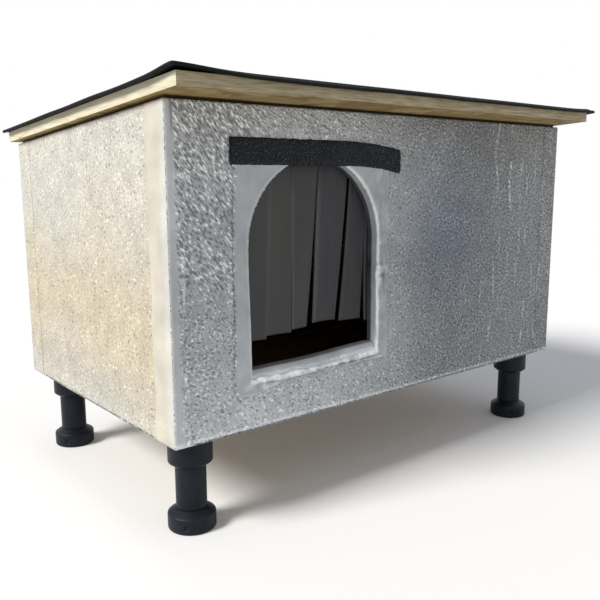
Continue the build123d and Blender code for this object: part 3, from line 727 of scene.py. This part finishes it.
def add_drip_strip():
    """Felt strip over the doorway: a closed gritty bar, straight and then drooping as a parabola."""
    low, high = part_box("drip_strip")
    width, straight, droop, height = high.x - low.x, 140 * MM, 7.5 * MM, 26 * MM
    grain, columns, across, edge = 1.6 * MM, 260, 30, 5
    s = np.linspace(0, width, columns)[None, :]
    fallen = droop * np.clip((s - straight) / (width - straight), 0, 1)**2
    thickness = high.y - low.y
    girth = np.linspace(0, 1, across)[:, None]
    outer = np.sin(np.linspace(0, math.pi / 2, edge))
    rim = thickness * np.concatenate([outer, np.ones(across - 2 * edge), outer[::-1]])[:, None]
    ends = np.clip(np.minimum(s, width - s) / (1.2 * MM), 0, 1)**0.5
    grit = 0.35 * MM * noise(s / grain + 0 * girth, girth * height / grain + 0 * s, 51)
    wave = 0.5 * MM * noise(s / (50 * MM) + 0 * girth, girth * 2 + 0 * s, 52)
    ragged = 0.5 * MM * noise(s / (7 * MM), 0 * s, 53) * (girth - 0.5)
    x = low.x + s + 0 * girth
    z = high.z - fallen - height * (1 - girth) + ragged
    front = high.y - (rim + (grit + wave) * (rim > 0)) * ends
    back = np.full_like(front, high.y)
    points = np.vstack([np.stack([x, front, z], -1), np.stack([x, back, z], -1)[::-1]])
    faces = grid_faces(*points.shape[:2])
    piece = mesh_piece("felt_drip_strip", points, faces, finishes["roofing_felt"])
    with edited(piece) as mesh:
        bmesh.ops.remove_doubles(mesh, verts=mesh.verts, dist=1e-6)
        bmesh.ops.holes_fill(mesh, edges=[edge for edge in mesh.edges if edge.is_boundary])
    fit(piece, "roofing_felt", "house", "drip_strip")


def add_membrane():
    """Roof membrane: a sheet whose free edges sag and wave, with a front left corner that curls up.

    Across and down the roof run the two parameters, both spaced by a sine so that they crowd at
    the edges. Near each end the rows get shorter by a quarter circle of 3 mm, and the front right
    tip is drawn out. The height is the board's, plus waves and curl and less the sag.
    """
    half_width, corner = 322.5 * MM, 3 * MM
    front, rear = -44 * MM, 392.78 * MM
    board_half, board_front, board_top = 316 * MM, -38 * MM, 15.5 * MM
    columns, rows = 200, 150
    a, b = np.meshgrid(*(np.sin(np.linspace(-math.pi / 2, math.pi / 2, count)) for count in (columns, rows)))
    along = (front + rear) / 2 + b * (rear - front) / 2
    from_end = np.clip((1 - np.abs(b)) * (rear - front) / 2, 0, corner)
    inset = corner - np.sqrt(corner**2 - (corner - from_end)**2)
    tip = bump_of(a, 1, 0.08) * bump_of(along, front, 22 * MM)
    x = a * (half_width - inset) + 6 * MM * tip
    over_side = ramp(np.abs(x), board_half, half_width)
    over_front = ramp(along, board_front, front)
    wave = noise(x / (60 * MM), along / (60 * MM), 91) * (0.25 + 0.75 * np.maximum(over_side, over_front))
    curl = 3.5 * MM * bump_of(x, -half_width, 45 * MM) * bump_of(along, front, 30 * MM)
    sag = 3.2 * MM * np.maximum(over_side, over_front) * (1 - 0.6 * bump_of(x, -half_width, 60 * MM))
    up = board_top + membrane_t + 0.6 * MM * (1 + wave) + curl - sag + 1.5 * MM * tip
    y = front_y + along * math.cos(slope) + up * math.sin(slope)
    z = top_z - along * math.sin(slope) + up * math.cos(slope)
    points = np.stack([x, y, z], -1)
    piece = mesh_piece("roofing_membrane", points, grid_faces(rows, columns), finishes["roof_membrane"])
    thicken(piece, membrane_t)
    fit(piece, "roof_membrane", "lid", "roof_membrane")


# Curtain: one value for each strip, from the left. Openings, leans and curls are in millimetres

sheet_t = 2 * MM
slit_openings = (0, 0, 0.5, 8.0, 9.0, 8.0)
slit_onsets = (1, 1, 1, 1.7, 0.4, 3.0)
# Painted highlights on each strip's edges and folds, and how much lighter each strip is painted for the light it
# catches.
strip_painted_highlights = (0, 0.55, 0.45, 0.5, 0.15, 0.2)
strip_painted_lightness = (0.7, 0.9, 0.5, 0.15, 0.1, 0.4)
strip_leans = (1.0, 3.0, 0.5, 4.0, 2.0, 0.5)
strip_curls = ((0, -2), (1, -3), (-1, 2), (-2, -3), (2, -2), (-1, 0))


def add_curtain():
    """Header and six strips of one vinyl sheet.

    A strip is a grid of share across and level. Its edges run between the slits' upper and lower
    ends, its face curls at an edge by the fourth power of the share across, and it leans with a
    soft bend that grows downwards.
    """
    mid_y = joint_place["strip_1_swing"][1]
    upper = joint_place["strip_1_swing"][2]
    header_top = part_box("curtain_header")[1].z
    at_top = [k * MM for k in (-102.5, -49.5, -23.5, 15.5, 58.5, 87.5, 114.5)]
    at_bottom = [k * MM for k in (-102.5, -57.5, -23.5, -0.5, 37.5, 75.5, 110.5)]
    low_ends = [board_sill + k * MM for k in (28, 30, 33, 36, 33, 30)]
    slit_low = min(low_ends)
    gap = 0.25 * MM
    rows, columns = 90, 22
    for i in range(6):
        share, t = np.meshgrid(np.linspace(0, 1, columns), np.linspace(0, 1, rows))
        z = upper + (low_ends[i] - upper) * t
        down = (upper - z) / (upper - slit_low)
        left = at_top[i] + (at_bottom[i] - at_top[i]) * down + gap
        left = left + slit_openings[i] * MM * down**slit_onsets[i]
        right = at_top[i + 1] + (at_bottom[i + 1] - at_top[i + 1]) * down - gap
        x = door_x + left + (right - left) * share
        edge = np.abs(2 * share - 1)
        curl = strip_curls[i][0] * (1 - share)**4 + strip_curls[i][1] * share**4
        bow = MM * down * (curl + strip_leans[i] * down)
        y = mid_y + sheet_t / 2 + bow + 0.6 * MM * down * noise(z / (50 * MM), share * 1.5 + 7 * i, 101)
        points = np.stack([x, y - sheet_t, z], -1)
        faces = grid_faces(rows, columns)[:, ::-1]
        # Painted highlights: a broad pale band near the left edge of some strips, and paler cut edges on all; each
        # strip is also painted lighter by its share of painted light.
        rim = strip_painted_highlights[i] * ramp(share, 0.2, 0.03) * ramp(t, 0.05, 0.3) + 0.25 * ramp(edge, 0.94, 1.0)
        look = {"rim": rim, "tone_and_painted_light": strip_painted_lightness[i] + 0.2 * noise(share * 2 + i, t * 3, 105)}
        piece = mesh_piece(f"curtain_strip_sheet_{i + 1}", points, faces, finishes["curtain_sheet"], look)
        thicken(piece, sheet_t)
        width, length = right.max() - left.min(), upper - low_ends[i]
        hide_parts(f"curtain_strip_{i + 1}")
        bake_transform(piece)
    rows, columns = 12, 80
    width, height = at_top[-1] - at_top[0], header_top - upper
    share, t = np.meshgrid(np.linspace(0, 1, columns), np.linspace(0, 1, rows))
    x = door_x + at_top[0] + width * share
    points = np.stack([x, mid_y - sheet_t / 2 + 0 * x, header_top - height * t], -1)
    header = mesh_piece("curtain_header_sheet", points, grid_faces(rows, columns)[:, ::-1],
                        finishes["curtain_sheet"], {"rim": 0 * x})
    thicken(header, sheet_t)
    fit(header, "curtain_sheet", "house", "curtain_header")


# Legs

foot_r = 24.6 * MM


def rounded(corners, steps=6):
    """Outline of (radius, height, rounding) corners, each rounded by a quadratic curve."""
    points = []
    count = len(corners)
    for i, (r, z, size) in enumerate(corners):
        here = np.array([r, z])
        if size <= 0 or i in (0, count - 1):
            points.append(here[None])
            continue
        before, after = (np.array(corners[i + k][:2]) for k in (-1, 1))
        start = here + size * (before - here) / np.linalg.norm(before - here)
        end = here + size * (after - here) / np.linalg.norm(after - here)
        t = np.linspace(0, 1, steps + 1)[:, None]
        points.append((1 - t)**2 * start + 2 * t * (1 - t) * here + t**2 * end)
    return np.vstack(points)


def lathe(name, outline, centre, segments, shape):
    """Carries an outline of radius and height round an upright axis. A shape changes the radii."""
    angle = np.linspace(0, 2 * math.pi, segments, endpoint=False)
    radius = outline[:, :1] + 0 * angle
    height = outline[:, 1:] + 0 * angle
    if shape:
        radius = shape(radius, height, angle + 0 * radius)
    points = np.stack([centre[0] + radius * np.cos(angle), centre[1] + radius * np.sin(angle), height], -1)
    faces = grid_faces(len(outline), segments, closed=True)
    piece = mesh_piece(name, points, faces, finishes["leg_plastic"])
    weld(piece)
    return piece


def with_notches(radius, height, angle):
    """Spanner notches in a foot's side: four windows, 3 mm wide and 6 mm high, pressed in by 1.6 mm."""
    quarter = (angle + math.pi / 4) % (math.pi / 2)
    sideways = np.minimum(quarter, math.pi / 2 - quarter) * foot_r
    window = ramp(sideways, 1.9 * MM, 1.3 * MM) * ramp(np.abs(height - 8 * MM), 3.2 * MM, 2.6 * MM)
    return radius - 1.6 * MM * window * (radius > 20 * MM)


def with_thread(radius, height, angle):
    """Screw thread of 1.5 mm pitch on the stem: a triangle wave of height and turn."""
    phase = (height / (1.5 * MM) - angle / (2 * math.pi)) % 1
    thread = 0.45 * MM * np.abs(2 * phase - 1)
    return with_notches(radius, height, angle) - thread * ((radius < 5.5 * MM) & (radius > 3 * MM))


def add_legs():
    """Sockets, columns and feet turned to their moulded sections, with every edge rounded.

    The socket is a cup with a cone at its mouth. The column is a tube with a bore for the stem in
    its floor. The foot is a disc with a cone on top and the stem, dense where notched or threaded.
    """
    socket_r, column_r, bore, tube_r = 22.7 * MM, 15.75 * MM, 15.85 * MM, 12.75 * MM
    stem_r, stem_bore, stem_h, stem_step = 5 * MM, 5.05 * MM, 30 * MM, 0.3 * MM
    foot_top, rim_z, leg_top = 22 * MM, 16.5 * MM, base_z
    cone_top, mouth, cup_top = leg_top - 29 * MM, leg_top - 33.5 * MM, leg_top - 4 * MM
    column_low, column_top = foot_top + 0.3 * MM, leg_top - 4.5 * MM
    bore_top, tube_floor = foot_top + 36 * MM, foot_top + 48 * MM
    socket = rounded([(0, leg_top, 0), (socket_r, leg_top, 0.4 * MM), (socket_r, cone_top, 0.8 * MM),
                      (bore + 1 * MM, mouth, 0.3 * MM), (bore, mouth, 0.2 * MM),
                      (bore, cup_top, 0), (0, cup_top, 0)])
    column = rounded([(stem_bore, bore_top, 0), (stem_bore, column_low, 0.3 * MM),
                      (column_r, column_low, 0.6 * MM), (column_r, column_top, 0.4 * MM),
                      (tube_r, column_top, 0.3 * MM), (tube_r, tube_floor, 0), (0, tube_floor, 0)])
    stem = [(stem_r, foot_top + k * stem_step, 0) for k in range(100)]
    side = [(foot_r, k * MM, 0) for k in np.linspace(4, 12, 24)]
    foot = rounded([(0, 0, 0), (foot_r, 0, 3 * MM), *side, (foot_r, rim_z, 1.5 * MM),
                    (column_r + 0.2 * MM, foot_top, 0.4 * MM), *stem, (0, foot_top + stem_h, 0)])
    for name in ("front_left", "front_right", "rear_left", "rear_right"):
        low_corner, high_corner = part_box(f"leg_foot_{name}")
        centre = (low_corner + high_corner) / 2
        for kind, outline, segments, shape, body in (("socket", socket, 96, None, "house"),
                                                     ("column", column, 96, None, "house"),
                                                     ("foot", foot, 200, with_thread, f"foot_{name}")):
            node = f"leg_{kind}_{name}"
            made = lathe(f"turned_{node}", outline, centre, segments, shape)
            fit(made, "leg_plastic", body, node)


# Hinge screws


def cross_screw(place, axis, head_r, length, dome):
    """Countersunk screw as rings of points round its axis.

    The first rings are the head's face: a parabolic dome, pressed in by 1 mm near either of two
    crossing lines, out to six tenths of its radius. Then come the cone, the shank and the tip.
    """
    sides, face_rings, centre_r = 64, 16, 0.02 * MM
    turn = np.linspace(0, 2 * math.pi, sides, endpoint=False)[None, :]
    shank = (0.55 * head_r, 0.5 * head_r, centre_r)
    r = np.array([*np.linspace(centre_r, head_r, face_rings), *shank])[:, None]
    down = np.array([0] * face_rings + [0.75 * head_r, length - head_r, length])[:, None]
    face = down == 0
    beside = np.minimum(np.abs(r * np.cos(turn)), np.abs(r * np.sin(turn)))
    slot = ramp(beside, 0.6 * MM, 0.35 * MM) * ramp(r, 0.68 * head_r, 0.56 * head_r)
    out = face * (dome * (1 - 0.8 * (r / head_r)**2) - 1.0 * MM * slot) - down
    side = np.array(Vector(axis).orthogonal().normalized())
    other = np.cross(axis, side)
    ring = (r * np.cos(turn))[..., None] * side + (r * np.sin(turn))[..., None] * other
    return place + ring + out[..., None] * axis


def shells_of(packed):
    """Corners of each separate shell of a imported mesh, followed along its edges from one point."""
    mesh = bmesh.new()
    mesh.from_mesh(packed)
    bmesh.ops.remove_doubles(mesh, verts=mesh.verts, dist=1e-6)
    mesh.verts.index_update()
    corners = np.array([vert.co for vert in mesh.verts])
    links = [[edge.other_vert(vert).index for edge in vert.link_edges] for vert in mesh.verts]
    mesh.free()
    left = set(range(len(links)))
    while left:
        shell, reached = set(), {min(left)}
        while reached:
            shell |= reached
            reached = {k for i in reached for k in links[i]} - shell
        left -= shell
        yield corners[sorted(shell)]


def add_hinge_screws():
    """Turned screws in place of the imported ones, which are the separate shells of a node."""
    rearward, downward = np.array([0, 1.0, 0]), np.array([0, -math.sin(slope), -math.cos(slope)])
    for node, body, axis, dome in (("hinge_wall_screws", "house", rearward, 0.9 * MM),
                                   ("hinge_lid_screws", "lid", downward, 0.25 * MM)):
        rings = []
        for corners in shells_of(frame["nodes"][node].data):
            heights = corners @ axis
            middle = corners.mean(0)
            place = middle + (heights.max() - middle @ axis) * axis
            across = np.linalg.norm(np.cross(corners - middle, axis), axis=1).max()
            rings.append(cross_screw(place, axis, across, heights.max() - heights.min(), dome))
        rows, columns = rings[0].shape[:2]
        faces = grid_faces(rows, columns, closed=True)
        faces = np.vstack([faces + k * rows * columns for k in range(len(rings))])
        piece = mesh_piece(f"turned_{node}", np.array(rings), faces, finishes["screw_steel"])
        weld(piece, 0.05 * MM)
        fit(piece, "screw_steel", body, node)


def dress_nodes():
    """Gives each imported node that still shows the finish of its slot."""
    slots = {entry["node"]: entry["material_slot"] for entry in frame["record"]["subparts"]}
    for node, piece in frame["nodes"].items():
        piece.data.materials.clear()
        piece.data.materials.append(finishes[slots[node]])


# Room


def add_room():
    """Pale floor that keeps the shadow, a warm low key lamp from the left, white backdrop and soft fill."""
    half_size = 60.0
    corners = half_size * np.array([[-1, -1, 0], [1, -1, 0], [1, 1, 0], [-1, 1, 0]])
    floor = mesh_piece("floor", corners, np.array([[0, 1, 2, 3]]), surface("pale_floor", floor_nodes, "AddShader"))
    key = bpy.data.lights.new("key_lamp", "SUN")
    key.energy = 3.15
    key.angle = math.radians(20)
    key.color = (1.0, 0.97, 0.92)
    lamp = bpy.data.objects.new("key_lamp", key)
    travel = Vector((1.18, -0.08, -1.0))
    lamp.rotation_euler = travel.to_track_quat("-Z", "Y").to_euler()
    bpy.context.scene.collection.objects.link(lamp)
    world = bpy.data.worlds.new("studio")
    bpy.context.scene.world = world
    world.use_nodes = True
    tree = world.node_tree
    tree.nodes.clear()
    soft = add(tree, "Background", {"Color": colour("f2f6ff"), "Strength": 0.36})
    white = add(tree, "Background", {"Color": (1, 1, 1, 1), "Strength": 1.0})
    both = add(tree, "MixShader", {0: seen_directly(tree), 1: soft, 2: white})
    add(tree, "OutputWorld", {"Surface": both})


def seen_directly(tree):
    """1 for what the camera sees, also in a mirror or through glass, and 0 for light on the object."""
    seen = 0.0
    for name in ("Is Camera Ray", "Is Glossy Ray", "Is Transmission Ray"):
        ray = add(tree, "LightPath", out=name)
        seen = add(tree, "Math", {0: seen, 1: ray}, operation="MAXIMUM")
    return seen


def floor_nodes(tree):
    """Matt white paper: seen by the camera at full white, and duller for the light that it gives back."""
    seen = seen_directly(tree)
    shade = add(tree, "Mix", {0: seen, 6: colour("c4c2be"), 7: (1, 1, 1, 1)}, 2, **BLEND)
    lift = add(tree, "Math", {0: seen, 1: 0.05}, operation="MULTIPLY")
    paper = add(tree, "BsdfDiffuse", {"Color": shade})
    lifted = add(tree, "Emission", {"Color": (1, 1, 1, 1), "Strength": lift})
    return {0: paper, 1: lifted}


def add_camera():
    """Camera at the photograph's place: 39.2 degrees round to the left, 9.7 down and rolled by 0.3."""
    place = Vector((-0.613319, -0.732597, 0.34786))
    yaw, pitch, roll = (math.radians(k) for k in (39.243, 9.685, 0.291))
    ahead = Vector((math.sin(yaw) * math.cos(pitch), math.cos(yaw) * math.cos(pitch), -math.sin(pitch)))
    right = Vector((math.cos(yaw), -math.sin(yaw), 0))
    down = ahead.cross(right)
    rolled = math.cos(roll) * right + math.sin(roll) * down
    lower = math.cos(roll) * down - math.sin(roll) * right
    data = bpy.data.cameras.new("camera")
    data.sensor_width = 36
    data.lens = 42.511
    camera = bpy.data.objects.new("camera", data)
    turned = Matrix((rolled, -lower, -ahead)).transposed().to_4x4()
    camera.matrix_world = Matrix.Translation(place) @ turned
    bpy.context.scene.collection.objects.link(camera)
    bpy.context.scene.camera = camera


dress_nodes()
add_foil()
add_corner_tapes()
add_door_tape()
add_drip_strip()
add_membrane()
add_curtain()
add_legs()
add_hinge_screws()
add_room()
add_camera()
bpy.context.scene.view_settings.view_transform = "Standard"
